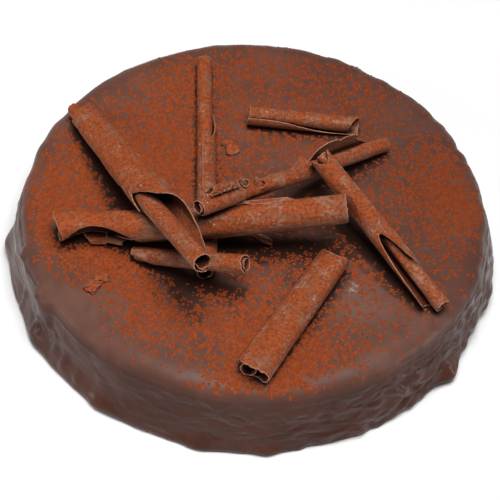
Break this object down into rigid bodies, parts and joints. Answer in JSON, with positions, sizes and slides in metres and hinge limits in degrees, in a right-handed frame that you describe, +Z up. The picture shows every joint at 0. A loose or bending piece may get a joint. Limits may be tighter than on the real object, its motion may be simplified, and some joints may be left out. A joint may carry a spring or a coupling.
{
  "type": "sachertorte cake",
  "caption": "Round low chocolate torte under a dark poured glaze, with long rolled chocolate curls lying across its top and cocoa sifted over them.",
  "frame": {"origin": "middle of the foot, on the surface the cake rests on", "axes": "+Z up through the top; -Y is the front, where the broad short curl points at the viewer; +X to the right"},
  "size_m": [0.2073, 0.2049, 0.0762],
  "materials": {
    "dark_glaze": "satin",
    "dusted_chocolate": "matte"
  },
  "bodies": {
    "root": {"glazed_cake": "dark_glaze", "wide_curl": "dusted_chocolate", "back_curl": "dusted_chocolate", "short_curl": "dusted_chocolate", "thin_curl": "dusted_chocolate", "long_curl": "dusted_chocolate", "slotted_curl": "dusted_chocolate", "front_curl": "dusted_chocolate", "small_curl": "dusted_chocolate"}
  },
  "joints": []
}
